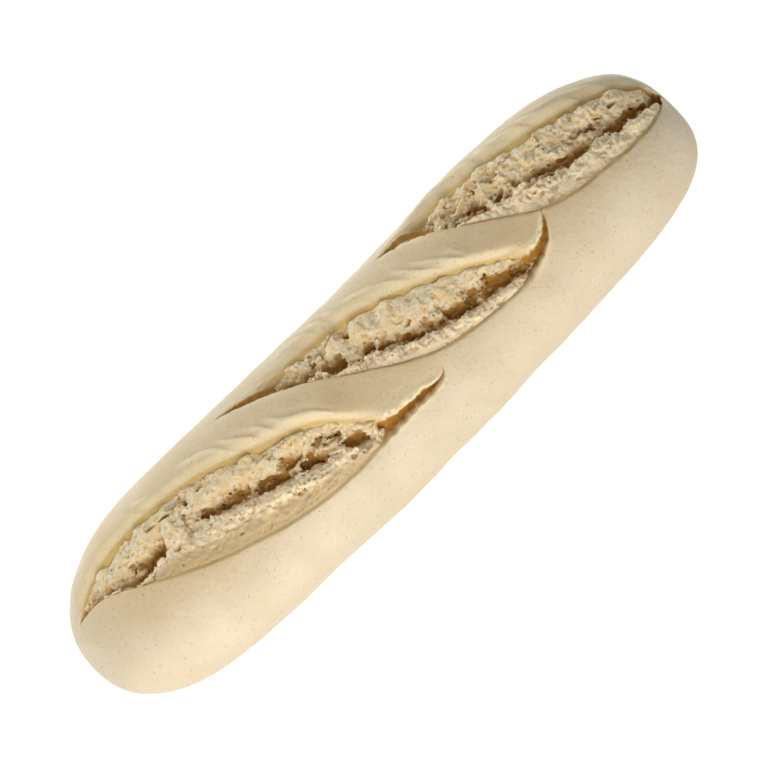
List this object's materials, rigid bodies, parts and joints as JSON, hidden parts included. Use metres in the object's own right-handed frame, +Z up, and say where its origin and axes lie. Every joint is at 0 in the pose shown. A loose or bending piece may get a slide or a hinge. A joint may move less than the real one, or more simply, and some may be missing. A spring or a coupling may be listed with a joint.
{
  "type": "wheat baguette",
  "caption": "Short, pale wheat baguette with rounded ends, its slanting slashes burst open to show torn crumb, lying on a flat underside.",
  "frame": {"origin": "on the table, under the middle of the loaf's box", "axes": "+X along the loaf, towards the end that a slash runs out over; +Y to the back, the side where the slashes start; +Z up"},
  "size_m": [0.26, 0.0704, 0.0524],
  "materials": {
    "crust": "matte, dry and slightly satin pale crust"
  },
  "bodies": {
    "root": {"loaf": "crust"}
  },
  "joints": []
}
